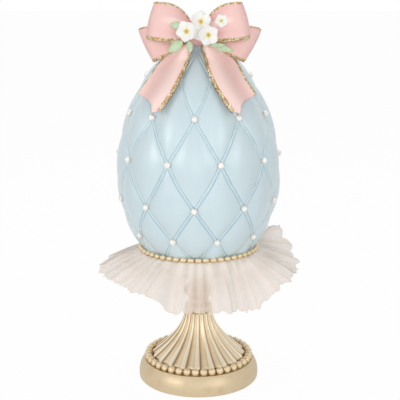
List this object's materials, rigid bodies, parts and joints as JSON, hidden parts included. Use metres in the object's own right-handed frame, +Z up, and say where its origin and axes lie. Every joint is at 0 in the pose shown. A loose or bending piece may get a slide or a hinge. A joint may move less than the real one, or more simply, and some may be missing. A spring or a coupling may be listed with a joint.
{
  "type": "decorative egg on stand",
  "caption": "Quilted decorative egg with pearls at the seam crossings, a ribbon bow with flowers on top, a tulle ruffle below and a fluted trumpet stand.",
  "frame": {"origin": "middle of the felt underside that the ornament stands on", "axes": "+Z up through the stand and egg, -Y is the front with the bow, +X is the bow's right as seen from the front"},
  "size_m": [0.125, 0.1165, 0.241],
  "materials": {
    "felt": "short-napped cream felt",
    "gold_resin": "cast resin with satin champagne-gold metallic paint",
    "steel": "plain zinc-plated steel",
    "brass": "turned brass",
    "blue_resin": "cast resin, pale blue eggshell finish",
    "plug_resin": "bare cast resin",
    "pearl": "white pearl lustre",
    "tulle": "sheer ivory tulle",
    "band_ribbon": "ivory gathering ribbon",
    "pink_resin": "cast resin ribbon, pale pink with gold glitter edges",
    "white_petal": "matt white petals",
    "yellow_centre": "soft yellow",
    "leaf_green": "pale sage green"
  },
  "bodies": {
    "root": {"felt_pad": "felt", "base_plinth": "gold_resin", "base_beads": "gold_resin", "fluted_foot": "gold_resin", "neck_collar": "gold_resin", "stem_baluster": "gold_resin", "egg_cup": "gold_resin", "egg_beads": "gold_resin", "tie_rod": "steel", "tie_rod_washer": "steel", "tie_rod_nut": "steel", "bow_pin": "steel", "threaded_insert": "brass", "egg_shell": "blue_resin", "egg_plug": "plug_resin", "pearls_row_1": "pearl", "pearls_row_2": "pearl", "pearls_row_3": "pearl", "pearls_row_4": "pearl", "pearls_row_5": "pearl", "tulle_ruffle": "tulle", "tulle_band": "band_ribbon", "bow_knot": "pink_resin", "bow_upper_loop_left": "pink_resin", "bow_upper_loop_right": "pink_resin", "bow_lower_loop_left": "pink_resin", "bow_lower_loop_right": "pink_resin", "bow_tail_left": "pink_resin", "bow_tail_right": "pink_resin", "flower_top": "white_petal", "flower_left": "white_petal", "flower_right": "white_petal", "flower_small_right": "white_petal", "flower_small_lower": "white_petal", "flower_centres": "yellow_centre", "leaf_upper_left": "leaf_green", "leaf_lower_left": "leaf_green", "leaf_middle": "leaf_green", "leaf_sprig_right": "leaf_green"}
  },
  "joints": []
}
